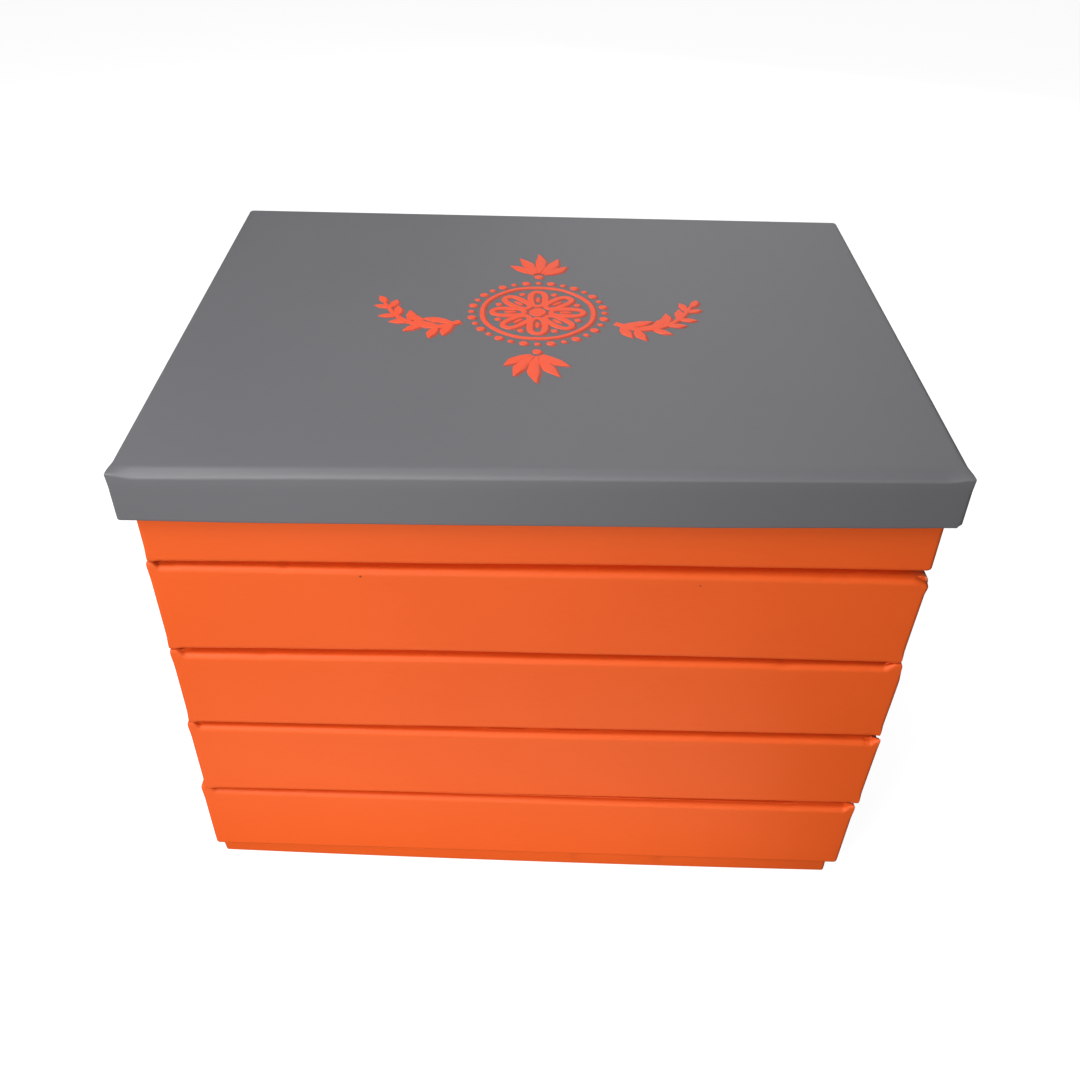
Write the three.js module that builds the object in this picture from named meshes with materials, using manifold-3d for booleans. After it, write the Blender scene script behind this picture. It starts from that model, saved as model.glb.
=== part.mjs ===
// A gift box of chocolates: five paper-wrapped tiers stacked one in the other under a shallow lift-off lid.
// Millimetres, +Z up. The origin is on the table under the middle of the lid, and the front looks towards -Y.
import * as THREE from "three";
import { mergeVertices } from "three/addons/utils/BufferGeometryUtils.js";
import Module from "manifold-3d";

// Driving dimensions
const LID_WIDTH = 250;
const LID_DEPTH = 194;
const SKIRT_HEIGHT = 19.0; // from the lid's highest corner to the lower edge of its skirt
const BOARD = 1.5; // the lid's board with the paper glued round it
const RIM_WIDTH = 2.2; // a tier's board with the paper turned over its rim
const LID_SLACK = 1.9; // air between the skirt and the tier under it
const FOOT_HEIGHT = 7.6; // the stepped foot under each tier, which drops inside the rim below
const FOOT_INSET = 2.9; // how far the lowest foot stands back from the wall above it
const NESTED_FOOT_INSET = 4.7; // the same for the other feet, which need play inside the rims
const FIT = 0.3; // air left between pieces that rest on each other

// The tiers from the top down. band is the height from the lower edge of the wall above, or from the lid's top,
// to the lower edge of this wall. joint is the dark gap left over the rim. shift (x, y) and turn (degrees, seen
// from above) say how a little askew each tier was put down.
const TIERS = [
  { name: "tray_1", band: 38.3, joint: BOARD + FIT, shift: [0.3, 0.6], turn: 0 },
  { name: "tray_2", band: 37.9, joint: 2.4, shift: [0.2, 0.1], turn: -0.5 },
  { name: "tray_3", band: 35.3, joint: 2.4, shift: [0.3, -0.4], turn: -0.5 },
  { name: "tray_4", band: 35.9, joint: 2.3, shift: [-0.2, -0.9], turn: -0.7 },
  { name: "tray_5", band: 35.6, joint: 2.8, shift: [-1.5, -0.5], turn: -1.25 },
];

// How askew the foot was glued under each tier: straight, but for the lowest one.
const STRAIGHT = { x: 0, y: 0, turn: 0 };
const LOWEST_FOOT = { x: -0.7, y: -0.6, turn: -0.2 };

// Rounded edges, where the paper bends round the board
const LID_TOP_ROUND = 3.1; // along the front and the back
const LID_SIDE_ROUND = 1.9; // along the two short sides
const LID_CORNER_ROUND = 0.9;
const TRAY_CORNER_ROUND = 2.0;
const RIM_ROUND = 1.6;
const WALL_FOOT_ROUND = 1.5;
const FOOT_CORNER_ROUND = 1.0;
const PAPER_FOLD_ROUND = 0.5;
const ARC_SEGMENTS = 3; // half the facets of a quarter round

// Sizes that follow
const TRAY_WIDTH = LID_WIDTH - 2 * (BOARD + LID_SLACK);
const TRAY_DEPTH = LID_DEPTH - 2 * (BOARD + LID_SLACK);
const TOP = TIERS.reduce((height, tier) => height + tier.band, FOOT_HEIGHT);
const OVERRUN = 5; // how far a cutting or joining block runs past the face that it meets

const GREY_PAPER = new THREE.MeshStandardMaterial({ color: "#5f5f63", roughness: 0.62, metalness: 0 });
const ORANGE_PAPER = new THREE.MeshStandardMaterial({ color: "#ee5a22", roughness: 0.58, metalness: 0 });

const wasm = await Module();
wasm.setup();

// A closed three.js geometry as a manifold-3d solid.
function toSolid(geometry) {
  geometry.deleteAttribute("normal");
  geometry.deleteAttribute("uv");
  const merged = mergeVertices(geometry);
  return new wasm.Manifold(
    new wasm.Mesh({
      numProp: 3,
      vertProperties: merged.attributes.position.array,
      triVerts: new Uint32Array(merged.index.array),
    }),
  );
}

// A manifold-3d solid as a three.js geometry.
function toGeometry(solid) {
  const mesh = solid.getMesh();
  const geometry = new THREE.BufferGeometry();
  geometry.setAttribute("position", new THREE.BufferAttribute(mesh.vertProperties, 3));
  geometry.setIndex(new THREE.BufferAttribute(mesh.triVerts, 1));
  const faceted = geometry.toNonIndexed();
  faceted.computeVertexNormals();
  return faceted;
}

// An upright rectangle from low to high, with its two lower and two upper corners rounded.
function roundedRectangle(width, low, high, lowRound, highRound) {
  const half = width / 2;
  const outline = new THREE.Shape();
  outline.absarc(half - lowRound, low + lowRound, lowRound, -Math.PI / 2, 0, false);
  outline.absarc(half - highRound, high - highRound, highRound, 0, Math.PI / 2, false);
  outline.absarc(highRound - half, high - highRound, highRound, Math.PI / 2, Math.PI, false);
  outline.absarc(lowRound - half, low + lowRound, lowRound, Math.PI, 1.5 * Math.PI, false);
  return outline;
}

function extrude(outline, length) {
  return new THREE.ExtrudeGeometry(outline, {
    depth: length,
    bevelEnabled: false,
    curveSegments: ARC_SEGMENTS,
  }).translate(0, 0, -length / 2);
}

// A wrapped board block: the front and side outlines and the plan are each run right through, and what they
// share has its top edges mitred into each other at the corners, as paper folded over them is.
function wrappedBlock({ width, depth, low, high, corner, lowRound, highRound, endRound = highRound }) {
  const front = extrude(roundedRectangle(width, low, high, lowRound, endRound), depth + OVERRUN);
  const side = extrude(roundedRectangle(depth, low, high, lowRound, highRound), width + OVERRUN);
  const plan = extrude(roundedRectangle(width, -depth / 2, depth / 2, corner, corner), high - low + OVERRUN);
  front.rotateX(Math.PI / 2);
  side.rotateX(Math.PI / 2).rotateZ(Math.PI / 2);
  plan.translate(0, 0, (high + low) / 2);
  const [fromFront, fromSide, fromAbove] = [front, side, plan].map(toSolid);
  return fromFront.intersect(fromSide).intersect(fromAbove);
}

// The lid: a shallow board cap whose paper turns over its top edges in one soft round.
function makeLid() {
  const shell = wrappedBlock({
    width: LID_WIDTH,
    depth: LID_DEPTH,
    low: TOP - SKIRT_HEIGHT,
    high: TOP,
    corner: LID_CORNER_ROUND,
    lowRound: PAPER_FOLD_ROUND,
    highRound: LID_TOP_ROUND,
    endRound: LID_SIDE_ROUND,
  });
  const inside = wrappedBlock({
    width: LID_WIDTH - 2 * BOARD,
    depth: LID_DEPTH - 2 * BOARD,
    low: TOP - SKIRT_HEIGHT - OVERRUN,
    high: TOP - BOARD,
    corner: PAPER_FOLD_ROUND,
    lowRound: PAPER_FOLD_ROUND,
    highRound: PAPER_FOLD_ROUND,
  });
  return toGeometry(shell.subtract(inside));
}

// A tier: its wall from wallLow to rim, the stepped foot under it, and the hollow inside the rim that takes the
// foot of the tier above. The uppermost tier fills the lid and has no such hollow.
function makeTier({ wallLow, rim, nestDepth, footInset, footPlace }) {
  const wall = wrappedBlock({
    width: TRAY_WIDTH,
    depth: TRAY_DEPTH,
    low: wallLow,
    high: rim,
    corner: TRAY_CORNER_ROUND,
    lowRound: WALL_FOOT_ROUND,
    highRound: RIM_ROUND,
  });
  const foot = wrappedBlock({
    width: TRAY_WIDTH - 2 * footInset,
    depth: TRAY_DEPTH - 2 * footInset,
    low: wallLow - FOOT_HEIGHT,
    high: wallLow + OVERRUN,
    corner: FOOT_CORNER_ROUND,
    lowRound: PAPER_FOLD_ROUND,
    highRound: PAPER_FOLD_ROUND,
  });
  const { x, y, turn } = footPlace;
  const tier = wall.add(foot.rotate([0, 0, turn]).translate([x, y, 0]));
  if (nestDepth === 0) return toGeometry(tier);
  const nest = wrappedBlock({
    width: TRAY_WIDTH - 2 * RIM_WIDTH,
    depth: TRAY_DEPTH - 2 * RIM_WIDTH,
    low: rim - nestDepth,
    high: rim + OVERRUN,
    corner: PAPER_FOLD_ROUND,
    lowRound: PAPER_FOLD_ROUND,
    highRound: PAPER_FOLD_ROUND,
  });
  return toGeometry(tier.subtract(nest));
}

const box = new THREE.Group();

const lid = new THREE.Mesh(makeLid(), GREY_PAPER);
lid.name = "lid";
box.add(lid);

let wallAbove = TOP;
TIERS.forEach((tier, index) => {
  const wallLow = wallAbove - tier.band;
  const tierShape = makeTier({
    wallLow,
    rim: wallAbove - tier.joint,
    nestDepth: index === 0 ? 0 : FOOT_HEIGHT - tier.joint + FIT,
    footInset: index === TIERS.length - 1 ? FOOT_INSET : NESTED_FOOT_INSET,
    footPlace: index === TIERS.length - 1 ? LOWEST_FOOT : STRAIGHT,
  });
  const tray = new THREE.Mesh(tierShape, ORANGE_PAPER.clone());
  tray.name = tier.name;
  tray.position.set(tier.shift[0], tier.shift[1], 0);
  tray.rotation.z = THREE.MathUtils.degToRad(tier.turn);
  box.add(tray);
  wallAbove = wallLow;
});

export default box;
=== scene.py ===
import math

import bmesh
import bpy
from mathutils import Matrix, Vector, noise


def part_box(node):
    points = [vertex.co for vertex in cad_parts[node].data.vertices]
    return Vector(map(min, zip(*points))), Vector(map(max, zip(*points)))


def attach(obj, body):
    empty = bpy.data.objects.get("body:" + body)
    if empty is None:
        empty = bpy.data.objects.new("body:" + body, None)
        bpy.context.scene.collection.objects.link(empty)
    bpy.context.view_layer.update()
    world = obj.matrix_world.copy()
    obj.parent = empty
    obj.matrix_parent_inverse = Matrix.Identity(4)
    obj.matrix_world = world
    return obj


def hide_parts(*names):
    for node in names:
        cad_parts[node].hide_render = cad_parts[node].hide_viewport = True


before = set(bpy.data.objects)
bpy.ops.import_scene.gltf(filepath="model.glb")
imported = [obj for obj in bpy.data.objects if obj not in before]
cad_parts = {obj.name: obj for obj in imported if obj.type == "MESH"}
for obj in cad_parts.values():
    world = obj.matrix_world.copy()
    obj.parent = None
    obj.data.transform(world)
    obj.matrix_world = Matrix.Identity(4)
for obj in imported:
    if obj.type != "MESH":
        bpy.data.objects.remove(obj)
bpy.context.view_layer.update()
MM = 0.001

# Tiers. Each is a board tray with a stepped foot that drops inside the rim of the tray below. Bright orange
# paper is glued round the board, turned over the rim and in under the foot, and folded at the corners. One
# blank is modelled and copied, and each copy gets its own height, dents and slight turn on the stack.
TRAYS = ["tray_5", "tray_4", "tray_3", "tray_2", "tray_1"]
TURN = {"tray_5": -1.25, "tray_4": -0.7, "tray_3": -0.5, "tray_2": -0.5, "tray_1": 0.0}
tray_low, tray_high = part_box("tray_1")
TRAY_HALF_WIDTH = (tray_high.x - tray_low.x) / 2
TRAY_HALF_DEPTH = (tray_high.y - tray_low.y) / 2
FOOT_HEIGHT = 7.6 * MM
FOOT_INSET = 2.9 * MM
NESTED_FOOT_INSET = 4.7 * MM
LOWEST_FOOT = Matrix.Translation((-0.7 * MM, -0.6 * MM, 0)) @ Matrix.Rotation(math.radians(-0.2), 4, "Z")
WALL_HEIGHT = 34 * MM
NEST_DEPTH = 6 * MM
RIM_WIDTH = 2.2 * MM
CORNER_ROUND = 1.0 * MM
FOOT_CORNER_ROUND = 1.0 * MM
RIM_ROUND = 1.85 * MM
LOWER_ROUND = 1.5 * MM
FOLD_ROUND = 0.5 * MM
NEST_CORNER_ROUND = 0.4 * MM
NEST_RIM_ROUND = 0.3 * MM
COVER_SHEET = 0.15 * MM
COVER_MARGIN = 2.5 * MM

# Two places closer than SAME count as one, and what lies within NEAR of a face counts as on it.
SAME = 0.02 * MM
NEAR = 0.1 * MM


def add_block(name, low, high):
    """A box between two corners: a new piece, or more of the piece that is in edit mode."""
    centre = (Vector(low) + Vector(high)) / 2
    size = Vector(high) - Vector(low)
    if bpy.context.mode == "OBJECT":
        bpy.ops.object.select_all(action="DESELECT")
    bpy.ops.mesh.primitive_cube_add(size=1)
    in_edit = bpy.context.mode == "EDIT_MESH"
    if not in_edit:
        bpy.context.active_object.name = name
        bpy.context.active_object.data.name = name
        bpy.ops.object.mode_set(mode="EDIT")
    bpy.ops.transform.resize(value=size, center_override=(0, 0, 0))
    bpy.ops.transform.translate(value=centre)
    return bpy.context.active_object


def pick(piece, kind, test):
    """Selects the faces or edges of the piece in edit mode that pass the test, and nothing else."""
    bpy.ops.mesh.select_mode(type=kind)
    bpy.ops.mesh.select_all(action="DESELECT")
    shape = bmesh.from_edit_mesh(piece.data)
    for part in shape.faces if kind == "FACE" else shape.edges:
        if test(part):
            part.select_set(True)
    shape.select_flush_mode()
    bmesh.update_edit_mesh(piece.data)


def same(a, b):
    return abs(a - b) < SAME


def upright(edge):
    a, b = edge.verts
    return same(a.co.x, b.co.x) and same(a.co.y, b.co.y)


def level(edge, height):
    return all(same(v.co.z, height) for v in edge.verts)


def round_off(piece, test, radius, segments):
    pick(piece, "EDGE", test)
    bpy.ops.mesh.bevel(offset=radius, segments=segments, profile=0.5, affect="EDGES", clamp_overlap=False)


# A face runs along an axis if its normal leans towards that axis by less than this.
LEVEL_NORMAL = 0.05


def cut_across(piece, axis, places, test):
    """Cuts the faces that run along one axis and pass the test by planes across it, so that they bend."""
    normal = [float(i == axis) for i in range(3)]
    for place in places:
        pick(piece, "FACE", lambda f: abs(f.normal[axis]) < LEVEL_NORMAL and test(f))
        bpy.ops.mesh.bisect(plane_co=[place * n for n in normal], plane_no=normal)


# Cuts along a wall, as (up to here from the end, this far apart): close where the paper is folded.
FIRST_CUT = 1.5 * MM
CUT_SPACINGS = [(9 * MM, 0.5 * MM), (20 * MM, 1.2 * MM), (math.inf, 2.4 * MM)]
CUT_HEIGHTS = [z * MM for z in (1.8, 3, 5, 8, 12, 17, 22, 26, 28.5, 30, 31, 31.8)]


def column_places(half):
    """The places of the cuts along a wall that runs from -half to half."""
    places = []
    from_end = FIRST_CUT
    while from_end < half:
        places.append(half - from_end)
        from_end += next(spacing for reach, spacing in CUT_SPACINGS if from_end < reach)
    return sorted([-p for p in places] + places)


# In square metres: only the uncut faces that cross the whole box are larger.
SMALL_FACE = 0.02


def small(face):
    return face.calc_area() < SMALL_FACE


MITRE_REACH = 2 * MM


def corner_edge(half_width, half_depth):
    """The test for the upright edges of a block and for the mitres where its rounded edges meet."""

    def test(edge):
        a, b = (v.co for v in edge.verts)
        short = abs(a.x - b.x) < MITRE_REACH and abs(a.y - b.y) < MITRE_REACH
        return short and all(same(half_width - abs(p.x), half_depth - abs(p.y)) for p in (a, b))

    return test


blank = add_block(
    "tray_blank",
    (-TRAY_HALF_WIDTH, -TRAY_HALF_DEPTH, 0),
    (TRAY_HALF_WIDTH, TRAY_HALF_DEPTH, WALL_HEIGHT),
)
round_off(blank, lambda e: level(e, 0), LOWER_ROUND, segments=4)
round_off(blank, lambda e: level(e, WALL_HEIGHT), RIM_ROUND, segments=6)
round_off(blank, corner_edge(TRAY_HALF_WIDTH, TRAY_HALF_DEPTH), CORNER_ROUND, segments=4)
foot_half_width = TRAY_HALF_WIDTH - FOOT_INSET
foot_half_depth = TRAY_HALF_DEPTH - FOOT_INSET
foot_bottom = COVER_SHEET - FOOT_HEIGHT
add_block("", (-foot_half_width, -foot_half_depth, foot_bottom), (foot_half_width, foot_half_depth, 0))


def foot_corner(edge):
    return upright(edge) and same(abs(edge.verts[0].co.x), foot_half_width)


round_off(blank, foot_corner, FOOT_CORNER_ROUND, segments=12)
columns = column_places(TRAY_HALF_WIDTH)
side_columns = column_places(TRAY_HALF_DEPTH)
cut_across(blank, 0, columns, small)
cut_across(blank, 1, side_columns, small)
cut_across(blank, 2, CUT_HEIGHTS, small)
pick(blank, "FACE", lambda f: not small(f) and same(f.calc_center_median().z, 0))
bpy.ops.mesh.delete(type="FACE")
pick(blank, "EDGE", lambda e: level(e, 0) and e.is_boundary)
bpy.ops.mesh.bridge_edge_loops()
bpy.ops.mesh.select_all(action="SELECT")
bpy.ops.mesh.normals_make_consistent(inside=False)
round_off(blank, lambda e: level(e, foot_bottom), FOLD_ROUND, segments=3)
pick(blank, "FACE", lambda f: not small(f) and f.normal.z < 0)
bpy.ops.mesh.inset(thickness=COVER_MARGIN)
bpy.ops.mesh.extrude_region_move(TRANSFORM_OT_translate={"value": (0, 0, -COVER_SHEET)})
bpy.ops.object.mode_set(mode="OBJECT")


def copy_of(piece, name):
    """Another piece with a mesh of its own."""
    twin = piece.copy()
    twin.data = piece.data.copy()
    twin.name = name
    twin.data.name = name
    bpy.context.collection.objects.link(twin)
    return twin


# The uppermost tray fills the lid, so its blank is closed on top. The others get the nest for the foot above.
solid_blank = copy_of(blank, "solid_blank")
bpy.ops.object.select_all(action="DESELECT")
bpy.context.view_layer.objects.active = blank
blank.select_set(True)
bpy.ops.object.mode_set(mode="EDIT")
pick(blank, "FACE", lambda f: not small(f) and f.normal.z > 0)
bpy.ops.mesh.delete(type="FACE")
nest_x = TRAY_HALF_WIDTH - RIM_WIDTH
nest_y = TRAY_HALF_DEPTH - RIM_WIDTH
add_block("", (-nest_x, -nest_y, WALL_HEIGHT - NEST_DEPTH), (nest_x, nest_y, WALL_HEIGHT))


def in_nest(part):
    """Whether an edge or a face belongs to the walls or the floor of the nest."""
    for corner in part.verts:
        x, y, z = corner.co
        if abs(x) > nest_x + NEAR or abs(y) > nest_y + NEAR or z < WALL_HEIGHT - NEST_DEPTH - NEAR:
            return False
    return True


round_off(blank, lambda e: upright(e) and in_nest(e), NEST_CORNER_ROUND, segments=4)
cut_across(blank, 0, columns, lambda f: small(f) and in_nest(f))
cut_across(blank, 1, side_columns, lambda f: small(f) and in_nest(f))
pick(blank, "FACE", lambda f: not small(f) and same(f.calc_center_median().z, WALL_HEIGHT))
bpy.ops.mesh.delete(type="FACE")
pick(blank, "EDGE", lambda e: level(e, WALL_HEIGHT) and e.is_boundary)
bpy.ops.mesh.bridge_edge_loops()
bpy.ops.mesh.select_all(action="SELECT")
bpy.ops.mesh.normals_make_consistent(inside=False)
round_off(blank, lambda e: level(e, WALL_HEIGHT) and in_nest(e), NEST_RIM_ROUND, segments=3)
bpy.ops.object.mode_set(mode="OBJECT")

# How far each front lower edge and rim is bowed, as (place along the tray, rise) in millimetres. Between two
# places the edge runs in one soft curve.
LOWER_BOW = {
    "tray_1": [(-122, 0), (-60, 0.35), (30, 0.7), (90, 0.4), (122, 0.1)],
    "tray_2": [(-122, 0.1), (-80, 0.7), (-30, 1.0), (40, 0.7), (122, 0)],
    "tray_3": [(-122, 0), (0, 0.1), (122, 0.1)],
    "tray_4": [(-122, 0), (0, 0.05), (122, 0)],
    "tray_5": [(-122, 0), (0, 0), (122, 0)],
}
RIM_BOW = {
    "tray_1": [(-122, 0), (122, 0)],
    "tray_2": [(-122, 0.2), (-40, 0.2), (0, 0.5), (80, 0.5), (116.5, 0.3), (121.3, -0.9)],
    "tray_3": [(-122, 0.4), (-20, 0.9), (40, 0.8), (122, 0.4)],
    "tray_4": [(-122, 0.1), (0, 0), (122, 0.1)],
    "tray_5": [(-122, -0.3), (0, -0.2), (122, -0.1)],
}
# Knocks and wrinkles, raised or dented, as (place, half length, rise) in millimetres: along the front rims,
# along the front lower edges, and along the right rims, where the place runs from front to back.
RIM_MARKS = {
    "tray_1": [],
    "tray_2": [(-115.5, 3, -0.25), (-78.4, 1.5, -0.35), (90, 1.5, -0.2), (95.6, 2, -0.3)],
    "tray_3": [(-91.7, 1.6, -0.3), (83, 2, -0.35)],
    "tray_4": [(60, 1.5, 0.2), (118.5, 2, -0.3)],
    "tray_5": [(-93.5, 2, -0.3), (-83.4, 1.6, 0.3), (98, 2, -0.3)],
}
LOWER_MARKS = {"tray_3": [(-0.4, 1.2, 0.35)]}
RIGHT_RIM_MARKS = {"tray_2": [(-89.0, 3.2, 0.4)]}
# The front of a foot is bowed out in its middle, and the left end of the lowest one slants out downwards.
FOOT_BOW = 0.75 * MM
FOOT_SLANT = 0.75 * MM
# How far the right ends lean out at their top and in at their foot, in millimetres, and how far their front
# corner is splayed out at the rim, or pressed in where it is negative. Each runs out over its reach.
LEAN = {"tray_1": 0, "tray_2": 0.6, "tray_3": 0.65, "tray_4": 0.6, "tray_5": 0.4}
FLARE = {"tray_1": 0, "tray_2": 0.4, "tray_3": -0.8, "tray_4": -0.2, "tray_5": 0}
LEAN_REACH = (110 * MM, 121 * MM)
FLARE_REACH = (-80 * MM, -92 * MM)
# The folded paper stands up at a rim's corners, as (reach from the corner, rise) in millimetres, for the
# front left and the front right corner. The two back corners are like the left one.
CORNER_FOLDS = {
    "tray_1": [(0, 0), (0, 0)],
    "tray_2": [(2.6, 1.8), (0.9, 0)],
    "tray_3": [(3.4, 2.1), (4.2, 1.8)],
    "tray_4": [(3.0, 2.3), (2.0, 2.3)],
    "tray_5": [(3.8, 2.8), (2.6, 2.4)],
}


def soft_step(low, high, value):
    """0 at low, 1 at high and a soft run between them. low may be the larger of the two."""
    t = min(1, max(0, (value - low) / (high - low)))
    return t * t * (3 - 2 * t)


def along_curve(points, x):
    """The rise at x on the soft curve through the points, all in millimetres."""
    for (x0, rise0), (x1, rise1) in zip(points, points[1:]):
        if x <= x1:
            return rise0 + (rise1 - rise0) * soft_step(x0, x1, x)
    return points[-1][1]


MARK_END = 0.6
MARK_END_SHARE = 0.4


def mark_rise(marks, x):
    """The sum of the marks at x, all in millimetres: each is flat in its middle and runs out at its ends."""
    rise = 0
    for place, half_length, height in marks:
        edge = max(MARK_END, MARK_END_SHARE * half_length)
        rise += height * soft_step(half_length + edge / 2, half_length - edge / 2, abs(x - place))
    return rise


# A corner's fold begins a bit past its reach and is full a bit inside it, by a share of it and a margin in
# millimetres. Where it rises by DOUBLED_RISE or more, the paper is doubled and fills out the rounded edge.
FOLD_BEGINS = 1.35
FOLD_FULL = 0.65
FOLD_MARGIN = 0.3
DOUBLED_RISE = 2
FILLING_OUT = 0.8


def folded_corner(name, x, y):
    """How far the fold at the nearest corner lifts the rim, and how doubled the paper is, from 0 to 1."""
    to_corner = max(TRAY_HALF_WIDTH - abs(x), TRAY_HALF_DEPTH - abs(y))
    reach, rise = CORNER_FOLDS[name][1 if x > 0 and y < 0 else 0]
    share = soft_step(FOLD_BEGINS * reach + FOLD_MARGIN, FOLD_FULL * reach - FOLD_MARGIN, to_corner / MM)
    return rise * share, share * min(1, rise / DOUBLED_RISE)


def squared(half, place, share):
    """A place across a rounded edge, moved out towards the flat wall where the paper is doubled."""
    inset = half - abs(place)
    return math.copysign(half - inset * (1 - FILLING_OUT * share), place) if inset < RIM_ROUND else place


# The unevenness of hand-laid paper, as (seed, size, length) in millimetres: the rims' slow waves and short
# wrinkles, the lower edges' waves, and how the walls belly in and out.
RIM_WAVES = (0, 0.16, 23)
RIM_WRINKLES = (50, 0.05, 6)
LOWER_WAVES = (90, 0.1, 31)
WALL_BELLY = (130, 0.25, 70)
SEED_STEP = 7.3


def ripple(side, kind, along):
    """One kind of unevenness at a place along one side of one tray, the same on each run."""
    seed, size, length = kind
    return size * noise.noise(Vector((along / length, (side + seed) * SEED_STEP, 0.5)))


# The lid has warped a little: two corners across from each other stand up and the other two hang down. The
# top of the uppermost tray follows it.
LID_WARP = 1.05 * MM
LID_HALF_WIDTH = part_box("lid")[1].x
LID_HALF_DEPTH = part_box("lid")[1].y


def lid_lean(x, y):
    """How far the lid's top lies under its highest corners."""
    return -LID_WARP * (1 + x / LID_HALF_WIDTH * y / LID_HALF_DEPTH)


def foot_place(name):
    """Where a foot sits: the lowest a little askew, and the others made narrower, to go into the nests."""
    if name == "tray_5":
        return LOWEST_FOOT
    width_scale = (TRAY_HALF_WIDTH - NESTED_FOOT_INSET) / foot_half_width
    depth_scale = (TRAY_HALF_DEPTH - NESTED_FOOT_INSET) / foot_half_depth
    return Matrix.Diagonal((width_scale, depth_scale, 1, 1))


# The wall and rim lie within WALL_SHELL of a tray's outside, and the foot's own side within FOOT_SHELL of the
# foot's. The rim's shape starts RIM_FROM under it and is whole at RIM_TO. The lower edge's is whole up to
# FOLD_TO over it and ends at FOLD_FROM.
WALL_SHELL = 2.4 * MM
FOOT_SHELL = 0.6 * MM
RIM_FROM = 6 * MM
RIM_TO = 2 * MM
FOLD_FROM = 6 * MM
FOLD_TO = 1.5 * MM
# On the left the wall and its folds stay this far inside the tray's solid.
LEFT_MARGIN = 0.06 * MM


def shape_foot(name, x, y, z):
    """Where a point of a tray's foot goes."""
    if y < FOOT_SHELL - foot_half_depth:
        y -= FOOT_BOW * (1 - (x / foot_half_width) ** 2)
    if name == "tray_5" and x < FOOT_SHELL - foot_half_width:
        x -= FOOT_SLANT * (1 - z / foot_bottom)
    return foot_place(name) @ Vector((x, y, z))


def shape_wall(name, wall_height, x, y, z):
    """Where a point of a tray's wall or rim goes, with all its bows, folds, knocks and ripples."""
    order = TRAYS.index(name) + 1
    below = None if name == "tray_5" else TRAYS[order - 2]
    front = -y > TRAY_HALF_DEPTH - WALL_SHELL
    across = abs(x) > TRAY_HALF_WIDTH - WALL_SHELL and not front
    right = across and x > 0
    along = (y if across else x) / MM
    side = 4 * order + [front, right, across, True].index(True)
    at_rim = soft_step(wall_height - RIM_FROM, wall_height - RIM_TO, z)
    at_fold = soft_step(FOLD_FROM, FOLD_TO, z)
    rim_rise = ripple(side, RIM_WAVES, along) + ripple(side, RIM_WRINKLES, along)
    fold_rise = ripple(side, LOWER_WAVES, along)
    if front:
        lower_marks = LOWER_MARKS.get(name, [])
        rim_rise += along_curve(RIM_BOW[name], along) + mark_rise(RIM_MARKS[name], along)
        fold_rise += along_curve(LOWER_BOW[name], along) + mark_rise(lower_marks, along)
    lift, folded = folded_corner(name, x, y)
    rim_rise += lift
    doubled = folded * at_rim + (folded_corner(below, x, y)[1] * at_fold if below else 0)
    x = squared(TRAY_HALF_WIDTH, x, doubled)
    y = squared(TRAY_HALF_DEPTH, y, doubled)
    if right:
        rim_rise += mark_rise(RIGHT_RIM_MARKS.get(name, []), along)
    z += (at_rim * rim_rise + at_fold * fold_rise) * MM
    up_the_wall = min(1, max(0, z / wall_height))
    bulge = math.sin(math.pi * up_the_wall) * ripple(side, WALL_BELLY, along) * MM
    flare = FLARE[name] * at_rim * soft_step(*FLARE_REACH, y)
    lean = LEAN[name] * (2 * z / wall_height - 1) + flare
    x += lean * MM * soft_step(*LEAN_REACH, x)
    if across:
        x += math.copysign(bulge, x)
    else:
        y += math.copysign(bulge, y)
    return max(LEFT_MARGIN - TRAY_HALF_WIDTH, x), y, z


def shape_tray(piece, name):
    """Gives the blank its own height and shape, still in the middle of its own frame."""
    low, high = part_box(name)
    wall_height = high.z - low.z - FOOT_HEIGHT
    for vertex in piece.data.vertices:
        x, y, z = vertex.co
        if z > WALL_HEIGHT / 2:
            z += wall_height - WALL_HEIGHT
            if name == "tray_1":
                z += lid_lean(x, y)
        if abs(x) > TRAY_HALF_WIDTH - WALL_SHELL or abs(y) > TRAY_HALF_DEPTH - WALL_SHELL:
            vertex.co = shape_wall(name, wall_height, x, y, z)
        elif z < NEAR:
            vertex.co = shape_foot(name, x, y, z)
        else:
            vertex.co = (x, y, z)


SMOOTH_ANGLE = math.radians(35)


def place_piece(piece, turn, place):
    """Turns and shifts the piece, with its place kept in its mesh, and smooths all but its sharp edges."""
    piece.rotation_euler.z = math.radians(turn)
    piece.location = place
    bpy.ops.object.select_all(action="DESELECT")
    bpy.context.view_layer.objects.active = piece
    piece.select_set(True)
    bpy.ops.object.transform_apply(location=True, rotation=True, scale=True)
    bpy.ops.object.shade_smooth_by_angle(angle=SMOOTH_ANGLE)


class Wire:
    """A shader socket. Sums and products of wires and numbers add Math nodes."""

    def __init__(self, finish, output):
        self.finish = finish
        self.output = output

    def maths(self, operation, first, second):
        return self.finish.add("ShaderNodeMath", {"operation": operation}, {0: first, 1: second})

    def __add__(self, other):
        return self.maths("ADD", self, other)

    __radd__ = __add__

    def __sub__(self, other):
        return self.maths("SUBTRACT", self, other)

    def __rsub__(self, other):
        return self.maths("SUBTRACT", other, self)

    def __mul__(self, other):
        return self.maths("MULTIPLY", self, other)

    __rmul__ = __mul__


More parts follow.
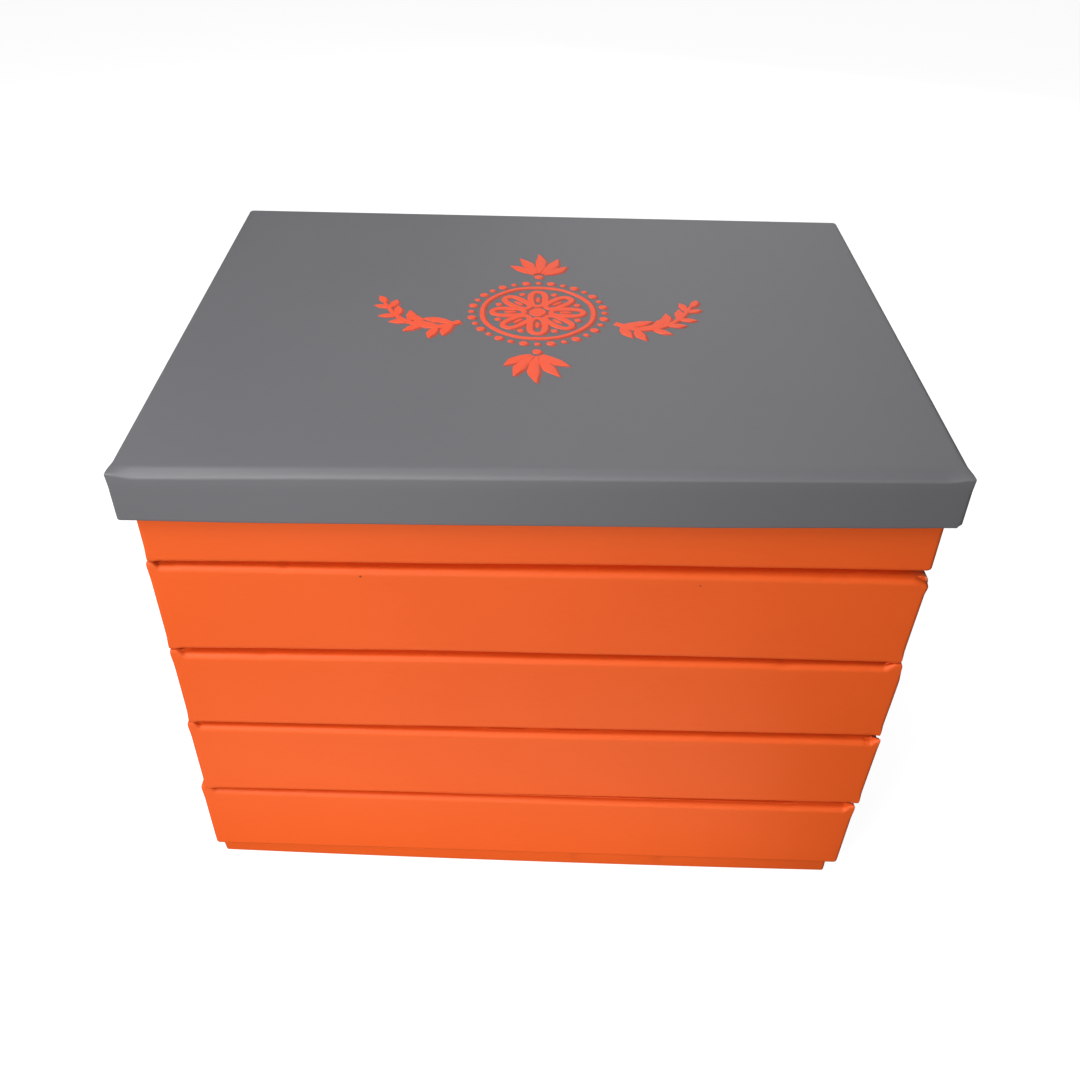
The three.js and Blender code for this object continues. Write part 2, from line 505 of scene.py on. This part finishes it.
class Finish:
    """A material with its node tree. Every node but the Math nodes comes from add."""

    def __init__(self, name):
        self.material = bpy.data.materials.new(name)
        self.material.use_nodes = True
        self.tree = self.material.node_tree
        self.shader = self.tree.nodes["Principled BSDF"]

    def add(self, kind, settings, inputs, output=0):
        node = self.tree.nodes.new(kind)
        for key, value in settings.items():
            setattr(node, key, value)
        for key, value in inputs.items():
            self.feed(node.inputs[key], value)
        return Wire(self, node.outputs[output])

    def feed(self, socket, value):
        if isinstance(value, Wire):
            self.tree.links.new(value.output, socket)
        else:
            socket.default_value = value

    def mix(self, amount, first, second):
        """A colour between two colours."""
        return self.add("ShaderNodeMix", {"data_type": "RGBA"}, {0: amount, 6: first, 7: second}, 2)

    def between(self, value, low, high):
        """0 below low, 1 above high and a straight run between them."""
        return self.add("ShaderNodeMapRange", {}, {"Value": value, "From Min": low, "From Max": high})

    def speckle(self, place, size, detail, stretch=(1, 1, 1)):
        """Noise from 0 to 1 whose lumps are about size metres across."""
        where = self.add("ShaderNodeMapping", {}, {"Vector": place, "Scale": stretch})
        return self.add("ShaderNodeTexNoise", {}, {"Vector": where, "Scale": 1 / size, "Detail": detail})


SPECK_COLOUR = (0.12, 0.03, 0.02, 1)
SPECK_EDGE = 0.6
SPECK_STRENGTH = 0.8
SCUFF_AND_HIGHLIGHT_STRENGTH = 0.6


def paper(name, colour, deep, pale, gloss, tint, roughness, specks=()):
    """Wrapping paper: cloudy dye, short fibres, a fine tooth, folds scuffed pale, a painted highlight in the
    same pale colour where a piece stores one, and a few stray specks.
    """
    finish = Finish(name)
    place = finish.add("ShaderNodeTexCoord", {}, {}, "Object")
    clouds = finish.speckle(place, size=45 * MM, detail=3)
    fibres = finish.speckle(place, size=1.2 * MM, detail=4, stretch=(0.35, 0.35, 1.2))
    tooth = finish.speckle(place, size=0.4 * MM, detail=2)
    scuff = finish.speckle(place, size=1.6 * MM, detail=4)
    paper_wear_and_highlight = finish.add("ShaderNodeAttribute", {"attribute_name": "paper_wear_and_highlight"}, {}, "Fac")
    shade = finish.between(clouds * 0.6 + fibres * 0.4, low=0.3, high=0.7)
    dyed = finish.mix(shade, deep, colour)
    # Where the stored amount and the scuff noise add up, the paper turns pale: scuffed folds, and on tray_2's
    # rim a painted highlight.
    scuffing_and_highlight = finish.between(paper_wear_and_highlight + scuff * 0.5, low=0.85, high=1.15)
    coloured = finish.mix(scuffing_and_highlight * SCUFF_AND_HIGHLIGHT_STRENGTH, dyed, pale)
    for speck, radius in specks:
        away = finish.add("ShaderNodeVectorMath", {"operation": "DISTANCE"}, {0: place, 1: speck}, "Value")
        inside = finish.between(away, low=radius, high=radius * SPECK_EDGE)
        coloured = finish.mix(inside * SPECK_STRENGTH, coloured, SPECK_COLOUR)
    finish.feed(finish.shader.inputs["Base Color"], coloured)
    finish.feed(finish.shader.inputs["Roughness"], roughness + (tooth - 0.5) * 0.12 + scuffing_and_highlight * 0.2)
    height = tooth * 0.6 + fibres * 0.4
    bump = finish.add("ShaderNodeBump", {}, {"Strength": 0.25, "Distance": 0.06 * MM, "Height": height})
    finish.feed(finish.shader.inputs["Normal"], bump)
    finish.shader.inputs["Specular IOR Level"].default_value = gloss
    finish.shader.inputs["Specular Tint"].default_value = tint
    return finish.material


def store_wear_and_highlight(piece, amount_at):
    """Stores at each vertex how much the paper is lightened, by wear and on tray_2 also by a painted
    highlight, for the material to read.
    """
    paper_wear_and_highlight = piece.data.attributes.new("paper_wear_and_highlight", "FLOAT", "POINT")
    paper_wear_and_highlight.data.foreach_set("value", [amount_at(v.co) for v in piece.data.vertices])


ORANGE = (0.778, 0.1045, 0.0132, 1)
ORANGE_DEEP = (0.750, 0.0970, 0.0120, 1)
# Pale scuffed orange, also the colour of the painted highlight beside tray_2's front right corner.
ORANGE_SCUFF_AND_HIGHLIGHT = (0.86, 0.35, 0.22, 1)
WARM_SHEEN = (1, 0.8, 0.7, 1)
# Two stray specks on the front of tray_2, as (place, radius).
SPECKS = [((-0.0555, -0.0930, 0.1478), 0.5 * MM), ((0.0508, -0.0939, 0.1466), 0.4 * MM)]
orange_paper = paper(
    "orange_paper", ORANGE, ORANGE_DEEP, ORANGE_SCUFF_AND_HIGHLIGHT,
    gloss=0.4, tint=WARM_SHEEN, roughness=0.52, specks=SPECKS,
)

CORNER_WEAR = 0.35
RIM_CORNER_WEAR = 0.4
# The pale patch on tray_2's rim beside its front right corner is rubbed paper with a painted highlight on the
# raised paper there.
TIP_WEAR_AND_HIGHLIGHT = 0.9
TIP = Vector((TRAY_HALF_WIDTH, 3.5 * MM - TRAY_HALF_DEPTH, WALL_HEIGHT))
# Wear begins and is full this far from the corner, and the tip's pale patch, rubbed paper with a painted
# highlight, this far from the tip. Wear is stronger from this far under the rim.
CORNER_WEAR_REACH = (2.2 * MM, 0.6 * MM)
TIP_PATCH_REACH = (3.0 * MM, 1.2 * MM)
RIM_WEAR_DEPTH = 3 * MM


def tray_wear(place):
    """Most at the upright corners, and more near the rim's corners than below them."""
    corner = Vector((abs(place.x) - TRAY_HALF_WIDTH, abs(place.y) - TRAY_HALF_DEPTH))
    near_corner = soft_step(*CORNER_WEAR_REACH, corner.length)
    near_rim = soft_step(WALL_HEIGHT - RIM_WEAR_DEPTH, WALL_HEIGHT, place.z)
    return near_corner * (CORNER_WEAR + RIM_CORNER_WEAR * near_rim)


def tip_wear_and_highlight(place):
    """As the others, plus a pale patch on the raised rim beside the front right corner: rubbed paper and a
    painted highlight.
    """
    return max(tray_wear(place), TIP_WEAR_AND_HIGHLIGHT * soft_step(*TIP_PATCH_REACH, (place - TIP).length))


for tray_name in TRAYS:
    tray = copy_of(solid_blank if tray_name == "tray_1" else blank, tray_name + "_paper")
    low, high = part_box(tray_name)
    # tray_2's pale patch beside its front right corner paints a highlight as well as wear.
    store_wear_and_highlight(tray, tip_wear_and_highlight if tray_name == "tray_2" else tray_wear)
    shape_tray(tray, tray_name)
    middle = (low + high) / 2
    place_piece(tray, TURN[tray_name], (middle.x, middle.y, low.z + FOOT_HEIGHT))
    tray.data.materials.append(orange_paper)
    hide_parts(tray_name)
    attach(tray, "root")
bpy.data.objects.remove(blank)
bpy.data.objects.remove(solid_blank)

# The lid is a shallow cap of the same board in grey paper, with soft edges round its top and a print on it.
# It is made as an outer and an inner block, open below and joined round the lower edge of the skirt.
lid_low, lid_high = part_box("lid")
BOARD = 1.5 * MM
LID_ROUND = 1.9 * MM
LID_CORNER_ROUND = 0.9 * MM
LINING_CORNER_ROUND = 0.4 * MM
SKIRT_FOLD_ROUND = 0.5 * MM
SKIRT_CUT_HEIGHTS = [z * MM for z in (0.8, 1.4, 2.4, 4, 6, 8, 10, 12, 14)]
lid_top = lid_high.z
skirt_edge = lid_low.z
hollow_top = lid_high.z - BOARD

lid = add_block("lid_paper", lid_low, lid_high)
round_off(lid, lambda e: level(e, lid_top), LID_ROUND, segments=6)
round_off(lid, corner_edge(lid_high.x, lid_high.y), LID_CORNER_ROUND, segments=4)
inner_low = (lid_low.x + BOARD, lid_low.y + BOARD, skirt_edge)
inner_high = (lid_high.x - BOARD, lid_high.y - BOARD, hollow_top)
add_block("", inner_low, inner_high)


def lining_corner(edge):
    return upright(edge) and same(abs(edge.verts[0].co.x), inner_high[0])


round_off(lid, lining_corner, LINING_CORNER_ROUND, segments=4)


def open_side(face):
    return not small(face) and same(face.calc_center_median().z, skirt_edge)


def skirt_or_top(face):
    lining_top = not small(face) and same(face.calc_center_median().z, hollow_top)
    return not open_side(face) and not lining_top


cut_across(lid, 0, column_places(lid_high.x), skirt_or_top)
cut_across(lid, 1, column_places(lid_high.y), skirt_or_top)
cut_across(lid, 2, [skirt_edge + z for z in SKIRT_CUT_HEIGHTS], skirt_or_top)
pick(lid, "FACE", open_side)
bpy.ops.mesh.delete(type="FACE")
pick(lid, "EDGE", lambda e: level(e, skirt_edge))
bpy.ops.mesh.bridge_edge_loops()
bpy.ops.mesh.select_all(action="SELECT")
bpy.ops.mesh.normals_make_consistent(inside=False)


def outer_skirt_edge(edge):
    outside = all(abs(v.co.x) > lid_high.x - MM or abs(v.co.y) > lid_high.y - MM for v in edge.verts)
    return outside and level(edge, skirt_edge) and not edge.is_boundary


round_off(lid, outer_skirt_edge, SKIRT_FOLD_ROUND, segments=3)
bpy.ops.object.mode_set(mode="OBJECT")

# The rounded edge of the top is tighter along the front, and tightest beside the two front corners.
FRONT_SHARE = 0.3
POINT_SHARE = 0.27
POINT_REACH = (1 * MM, 8 * MM)
# The top slopes down to its front edge, by SLOPE_DROP over SLOPE_REACH, both in millimetres. The slope is
# wider to the right, drops by LEFT_DROP more on the left and runs out at both ends. SLOPE_SOFTNESS rounds its
# upper end, and the skirt under it gives way down to SLOPE_DEPTH.
SLOPE_REACH = 4.4
SLOPE_WIDENING = 0.9
SLOPE_DROP = 1.15
LEFT_DROP = 0.35
LEFT_DROP_REACH = (-60 * MM, -110 * MM)
SLOPE_ENDS = (-1 * MM, 8.5 * MM)
SLOPE_SOFTNESS = 0.03
SLOPE_DEPTH = 8 * MM
# How far the skirt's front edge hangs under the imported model's, as (place, sag) in millimetres. Round the
# sides and the back the edge follows the warp. All that ends SKIRT_REACH over the edge.
SKIRT_SAG = [(-125, 0.1), (-88, 0.45), (-44, 0.3), (48, 0), (95, -0.6), (125, -1.1)]
SIDE_SAG = 0.6
MEAN_SAG = -0.5
SKIRT_REACH = 14 * MM
SKIRT_THICKNESS = 2 * MM
# The skirt's front right corner has been knocked in and up.
KNOCK_REACH = (1.6 * MM, 0.3 * MM)
KNOCK_UP = 1.0 * MM
KNOCK_IN = 0.9 * MM


def tighten(x, y, z):
    """Makes the round of the top's edges tighter along the front, and beside the two front corners."""
    from_side = lid_high.x - abs(x)
    from_front = lid_high.y + y
    if z < lid_top - LID_ROUND - SAME or y > 0:
        return x, y, z
    side_share = POINT_SHARE + (1 - POINT_SHARE) * soft_step(*POINT_REACH, from_front)
    across = max(0, 1 - from_side / LID_ROUND)
    forward = max(0, 1 - from_front / LID_ROUND)
    if across > 0:
        x = math.copysign(lid_high.x - side_share * from_side, x)
    if forward > 0:
        y = FRONT_SHARE * from_front - lid_high.y
    if across + forward > 0:
        weight = across**4 / (across**4 + forward**4)
        z = lid_top - (side_share * weight + FRONT_SHARE * (1 - weight)) * (lid_top - z)
    return x, y, z


def front_slope(x, y):
    """How far the top slopes down here to its front edge, over the last few millimetres."""
    reach = (SLOPE_REACH + SLOPE_WIDENING * x / lid_high.x) * MM
    t = (y - lid_low.y) / reach
    drop = SLOPE_DROP + LEFT_DROP * soft_step(*LEFT_DROP_REACH, x)
    drop *= soft_step(*SLOPE_ENDS, lid_high.x - abs(x))
    return drop * MM * (1 - t + math.sqrt((1 - t) ** 2 + SLOPE_SOFTNESS)) / 2


def in_lining(x, y, z):
    return abs(x) < inner_high[0] + NEAR and abs(y) < inner_high[1] + NEAR and z < hollow_top + NEAR


for vertex in lid.data.vertices:
    x, y, z = vertex.co
    if not in_lining(x, y, z):
        x, y, z = tighten(x, y, z)
        z -= front_slope(x, y) * soft_step(lid_top - SLOPE_DEPTH, lid_top - LID_ROUND, z)
    from_knock = Vector((x - lid_high.x, y - lid_low.y, z - skirt_edge)).length
    crush = soft_step(*KNOCK_REACH, from_knock)
    sag = (SIDE_SAG * x / LID_HALF_WIDTH * y / LID_HALF_DEPTH + MEAN_SAG) * MM
    if -y > lid_high.y - SKIRT_THICKNESS:
        sag = along_curve(SKIRT_SAG, x / MM) * MM
    from_edge = soft_step(skirt_edge, skirt_edge + SKIRT_REACH, z)
    z += lid_lean(x, y) * from_edge - sag * (1 - from_edge) + KNOCK_UP * crush
    x = min(lid_high.x, max(lid_low.x, x))
    y = min(lid_high.y, max(lid_low.y, y))
    vertex.co = (x - KNOCK_IN * crush, y, min(z, lid_high.z))

GREY = (0.1268, 0.1247, 0.1335, 1)
GREY_DEEP = (0.1210, 0.1190, 0.1275, 1)
GREY_SCUFFED = (0.3, 0.3, 0.31, 1)
WHITE = (1, 1, 1, 1)
grey_paper = paper("grey_paper", GREY, GREY_DEEP, GREY_SCUFFED, gloss=0.5, tint=WHITE, roughness=0.5)
LID_CORNER_WEAR = 0.6
LID_WEAR_REACH = (2.5 * MM, 0.8 * MM)


def lid_wear(place):
    corner = Vector((abs(place.x) - lid_high.x, abs(place.y) - lid_high.y))
    return LID_CORNER_WEAR * soft_step(*LID_WEAR_REACH, corner.length)


store_wear_and_highlight(lid, lid_wear)
place_piece(lid, 0, (0, 0, 0))
lid.data.materials.append(grey_paper)
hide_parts("lid")
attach(lid, "root")

# The print on the lid is a thick coral ink with a duller copy of it peeping out on the lower right: a rosette
# in a ring of beads, with a leafy spray on either side and a palm leaf above and below. Each line is a soft
# round stroke along a curve, pressed flat on the paper. It stands a little proud of it and follows its warp.
PRINT_CENTRE = Vector((-1.5 * MM, 6 * MM, 0))
PRINT_HEIGHT = 0.25 * MM
SHADE_HEIGHT = PRINT_HEIGHT * 0.5
INK_FLATNESS = 0.3 * MM
SHADE_OFFSET = Vector((0.7 * MM, -0.55 * MM, 0))
STROKE_SIDES = 3
STROKE_STEPS = 7


def around(radius, degrees):
    """The point at a distance and a bearing, from straight up and clockwise, in millimetres."""
    angle = math.radians(degrees)
    return (radius * math.sin(angle), radius * math.cos(angle))


def stroke(points, width, taper, closed=False):
    """A line of ink through the points, whose width at each point is the widest one times its taper."""
    bpy.ops.object.select_all(action="DESELECT")
    bpy.ops.curve.primitive_bezier_curve_add()
    line = bpy.context.active_object
    line.data.bevel_depth = width / 2 * MM
    line.data.bevel_resolution = STROKE_SIDES
    line.data.use_fill_caps = True
    line.data.resolution_u = STROKE_STEPS
    spline = line.data.splines[0]
    spline.use_cyclic_u = closed
    spline.bezier_points.add(len(points) - 2)
    for knot, (x, y), thickness in zip(spline.bezier_points, points, taper):
        knot.handle_left_type = knot.handle_right_type = "AUTO"
        knot.co = (x * MM, y * MM, 0)
        knot.radius = thickness
    bpy.ops.object.convert(target="MESH")
    return bpy.context.active_object


# How far along its width a dot is drawn through. It is narrow at both ends, but never quite a point.
DOT_STEPS = (-1, -0.85, -0.5, 0, 0.5, 0.85, 1)
DOT_ROUNDNESS = 1.01


def dot(x, y, width):
    """A round spot of ink: a very short stroke that swells and shrinks like a ball."""
    points = [(x + width / 2 * step, y) for step in DOT_STEPS]
    return stroke(points, width, [math.sqrt(DOT_ROUNDNESS - step * step) for step in DOT_STEPS])


# A leaf's spine, as shares of its length (along it, to one side), and its taper.
LEAF_SPINE = [(0, 0), (0.3, 0.04), (0.62, 0.05), (1, 0)]
LEAF_TAPER = (0.25, 0.85, 1, 0.12)


def leaf(x, y, degrees, length, width):
    """A pointed leaf that starts at a place and grows on a bearing."""
    points = []
    for along, bow in LEAF_SPINE:
        step_x, step_y = around(length * along, degrees)
        bow_x, bow_y = around(length * bow, degrees + 90)
        points.append((x + step_x + bow_x, y + step_y + bow_y))
    return stroke(points, width, LEAF_TAPER)


PETALS = 8
PETAL_TURN = 360 / PETALS
PETAL_BASE = 4.8
PETAL_WAIST = 10
PETAL_TIP = 16.4
PETAL_SPREAD = 15.5
VEIN = (8, 10.2, 12)
DROP_RADIUS = 15.4
BEADS = 32
BEAD_RADIUS = 24


def ring(radius, width):
    points = [around(radius, PETAL_TURN * i) for i in range(PETALS)]
    return stroke(points, width, (1,) * PETALS, closed=True)


def rosette():
    """Eight looped petals, each with a vein in it and a drop beside it, in two rings and a ring of beads."""
    strokes = []
    for i in range(PETALS):
        bearing = PETAL_TURN * i
        petal = [
            around(PETAL_BASE, bearing),
            around(PETAL_WAIST, bearing - PETAL_SPREAD),
            around(PETAL_TIP, bearing),
            around(PETAL_WAIST, bearing + PETAL_SPREAD),
        ]
        vein = [around(radius, bearing) for radius in VEIN]
        strokes.append(stroke(petal, width=2.5, taper=(0.75, 1, 0.85, 1), closed=True))
        strokes.append(stroke(vein, width=1.7, taper=(0.7, 1, 0.4)))
        strokes.append(dot(*around(DROP_RADIUS, bearing + PETAL_TURN / 2), width=2.3))
    strokes.append(ring(radius=1.5, width=3.2))
    strokes.append(ring(radius=20, width=1.7))
    for i in range(BEADS):
        strokes.append(dot(*around(BEAD_RADIUS, 360 / BEADS * i), width=3.0 if i % 2 else 2.0))
    return strokes


SPRAY_STEM = [(27.5, -8), (35, -12), (43, -10.5), (50.5, -4), (55.5, 5.5)]
STEM_TAPER = (1, 0.95, 0.85, 0.7, 0.45)
LEAF_PAIRS = 6
FIRST_PAIR = 0.08
PAIR_SPACING = 0.165
FIRST_LEAF_LENGTH = 11.5
LEAF_SHRINKING = 0.9
LEAF_SPLAY = 44
INNER_LEAF_SHARE = 0.85


def stem_place(t):
    """The point and bearing at t, from 0 to 1, along the spray's stem."""
    spot = t * (len(SPRAY_STEM) - 1)
    i = min(int(spot), len(SPRAY_STEM) - 2)
    (x0, y0), (x1, y1) = SPRAY_STEM[i], SPRAY_STEM[i + 1]
    part = spot - i
    return x0 + (x1 - x0) * part, y0 + (y1 - y0) * part, math.degrees(math.atan2(x1 - x0, y1 - y0))


def spray(side):
    """A curved stem with pairs of leaves that get smaller towards its tip, and one leaf at the tip."""
    stem = [(side * x, y) for x, y in SPRAY_STEM]
    strokes = [stroke(stem, width=2.6, taper=STEM_TAPER)]
    for i in range(LEAF_PAIRS):
        x, y, bearing = stem_place(FIRST_PAIR + PAIR_SPACING * i)
        length = FIRST_LEAF_LENGTH - LEAF_SHRINKING * i
        outer = side * (bearing - LEAF_SPLAY)
        inner = side * (bearing + LEAF_SPLAY)
        strokes.append(leaf(side * x, y, outer, length, width=4.2 - 0.2 * i))
        strokes.append(leaf(side * x, y, inner, length * INNER_LEAF_SHARE, width=3.9 - 0.2 * i))
    tip_x, tip_y = SPRAY_STEM[-1]
    strokes.append(leaf(side * tip_x, tip_y, side * 25, length=6.5, width=3.0))
    return strokes


# The leaves of a palm, as (bearing, length).
PALM_LEAVES = [(0, 17.5), (25, 15), (-25, 15), (50, 11.5), (-50, 11.5)]
PALM_PLACE = 30
PALM_ROOT = 2.6
PALM_DOT_PLACE = 29.4


def palm(up):
    """A fan of five leaves over a dot, above the rosette where up is 1 and below it where up is -1."""
    strokes = []
    for bearing, length in PALM_LEAVES:
        x, y = around(PALM_ROOT, bearing)
        grows = bearing if up > 0 else 180 - bearing
        strokes.append(leaf(x, up * (PALM_PLACE + y), grows, length, width=4.4))
    strokes.append(dot(0, up * PALM_DOT_PLACE, width=3.2))
    return strokes


CAP_GAP = 0.002 * MM


def print_piece(name, offset, height, material):
    """Joins one set of strokes and presses it on the lid, where its top stands this high over the paper."""
    strokes = rosette() + spray(-1) + spray(1) + palm(1) + palm(-1)
    bpy.ops.object.select_all(action="DESELECT")
    for part in strokes:
        part.select_set(True)
    bpy.context.view_layer.objects.active = strokes[0]
    bpy.ops.object.join()
    bpy.ops.object.mode_set(mode="EDIT")
    bpy.ops.mesh.select_all(action="SELECT")
    bpy.ops.mesh.remove_doubles(threshold=CAP_GAP)
    bpy.ops.object.mode_set(mode="OBJECT")
    piece = bpy.context.active_object
    piece.name = name
    piece.data.name = name
    for vertex in piece.data.vertices:
        x, y, z = vertex.co
        x += PRINT_CENTRE.x + offset.x
        y += PRINT_CENTRE.y + offset.y
        vertex.co = (x, y, lid_high.z + lid_lean(x, y) + height * math.tanh(z / INK_FLATNESS))
    place_piece(piece, 0, (0, 0, 0))
    piece.data.materials.append(material)
    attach(piece, "root")


INK_GLOSS = 0.35


def ink(name, colour, faded, roughness):
    """Matt ink: slightly blotchy, thin and pale here and there, with the paper's tooth under it."""
    finish = Finish(name)
    place = finish.add("ShaderNodeTexCoord", {}, {}, "Object")
    blotches = finish.between(finish.speckle(place, size=6 * MM, detail=3), low=0.35, high=0.7)
    tooth = finish.speckle(place, size=0.4 * MM, detail=2)
    thin = finish.between(finish.speckle(place, size=0.9 * MM, detail=3), low=0.62, high=0.75)
    amount = blotches * 0.25 + thin * 0.35
    finish.feed(finish.shader.inputs["Base Color"], finish.mix(amount, colour, faded))
    finish.feed(finish.shader.inputs["Roughness"], roughness + (tooth - 0.5) * 0.15)
    bump = finish.add("ShaderNodeBump", {}, {"Strength": 0.3, "Distance": 0.05 * MM, "Height": tooth})
    finish.feed(finish.shader.inputs["Normal"], bump)
    finish.shader.inputs["Specular IOR Level"].default_value = INK_GLOSS
    return finish.material


CORAL = (0.80, 0.085, 0.030, 1)
CORAL_FADED = (0.74, 0.105, 0.050, 1)
DULL_CORAL = (0.42, 0.062, 0.036, 1)
DULL_CORAL_FADED = (0.45, 0.080, 0.050, 1)
coral_ink = ink("coral_ink", CORAL, CORAL_FADED, roughness=0.5)
shade_ink = ink("shade_ink", DULL_CORAL, DULL_CORAL_FADED, roughness=0.55)
print_piece("print_shade", SHADE_OFFSET, SHADE_HEIGHT, shade_ink)
print_piece("print_ornament", Vector((0, 0, 0)), PRINT_HEIGHT, coral_ink)

# The studio: a plain white floor that glows by itself and throws no light on the box, soft lights on the left
# and over the box, low ones before it, with a dim strip before its foot, three behind it, and the camera.
FLOOR_SIZE = 8
FLOOR_COLOUR = (0.3, 0.3, 0.3, 1)
FLOOR_GLOW = 0.93
bpy.ops.object.select_all(action="DESELECT")
bpy.ops.mesh.primitive_plane_add(size=FLOOR_SIZE)
floor = bpy.context.active_object
floor.name = "floor"
floor.visible_diffuse = False
floor.visible_glossy = False
pale = Finish("pale_floor")
pale.shader.inputs["Base Color"].default_value = FLOOR_COLOUR
pale.shader.inputs["Roughness"].default_value = 0.95
pale.shader.inputs["Specular IOR Level"].default_value = 0
pale.shader.inputs["Emission Color"].default_value = WHITE
pale.shader.inputs["Emission Strength"].default_value = FLOOR_GLOW
floor.data.materials.append(pale.material)

# Each as (name, place, size, what it is aimed at, power in watts).
LIGHTS = [
    ("front_left", (-0.35, -0.45, 0.85), (0.4, 0.4), (0, 0, 0.17), 4.08),
    ("far_left", (-0.57, -0.58, 0.40), (0.3, 0.3), (0, 0, 0.12), 3.5),
    ("over_left", (-0.13, -0.10, 0.85), (0.35, 0.35), (0, 0, 0.17), 2.3),
    ("high_left", (-0.30, 0.05, 0.70), (0.25, 0.25), (0, -0.05, 0.17), 0.41),
    ("low_near", (-0.105, -0.423, 0.107), (0.2, 0.2), (0, 0, 0.10), 0.25),
    ("low_front", (-0.05, -0.60, 0.15), (0.3, 0.3), (0, 0, 0.11), 0.71),
    ("foot_strip", (-0.03, -0.155, 0.004), (0.26, 0.05), (-0.03, -0.09, 0.05), 0.043),
    ("above_back", (0.1, 0.35, 0.9), (0.5, 0.5), (0, 0, 0.19), 0.30),
    ("low_back", (0, 0.9, 0.45), (0.7, 0.7), (0, 0.1, 0.15), 0.55),
    ("low_back_right", (0.3, 0.9, 0.45), (0.7, 0.7), (0, 0.1, 0.15), 1.32),
]
for light_name, where, size, target, power in LIGHTS:
    light = bpy.data.lights.new(light_name, "AREA")
    light.shape = "RECTANGLE"
    light.size, light.size_y = size
    light.energy = power
    lamp = bpy.data.objects.new(light_name, light)
    lamp.location = where
    lamp.rotation_euler = (Vector(target) - Vector(where)).to_track_quat("-Z", "Y").to_euler()
    lamp.visible_camera = False
    bpy.context.scene.collection.objects.link(lamp)

ROOM_GLOW = 0.04
world = bpy.data.worlds.new("studio")
world.use_nodes = True
world.node_tree.nodes["Background"].inputs["Color"].default_value = WHITE
world.node_tree.nodes["Background"].inputs["Strength"].default_value = ROOM_GLOW
bpy.context.scene.world = world
bpy.context.scene.view_settings.view_transform = "Standard"

CAMERA_PLACE = (0.6 * MM, -351.75 * MM, 367.56 * MM)
CAMERA_YAW = 0.0006
CAMERA_PITCH = 0.6683
CAMERA_ROLL = 0.0132
SENSOR_WIDTH = 36
FOCAL_LENGTH = 36.194
NEAREST_VIEW = 10 * MM
camera_data = bpy.data.cameras.new("camera")
camera_data.sensor_width = SENSOR_WIDTH
camera_data.lens = FOCAL_LENGTH
camera_data.clip_start = NEAREST_VIEW
camera = bpy.data.objects.new("camera", camera_data)
yaw = Matrix.Rotation(CAMERA_YAW, 4, "Z")
tilt = Matrix.Rotation(math.pi / 2 - CAMERA_PITCH, 4, "X")
roll = Matrix.Rotation(CAMERA_ROLL, 4, "Z")
camera.matrix_world = Matrix.Translation(CAMERA_PLACE) @ yaw @ tilt @ roll
bpy.context.scene.collection.objects.link(camera)
bpy.context.scene.camera = camera
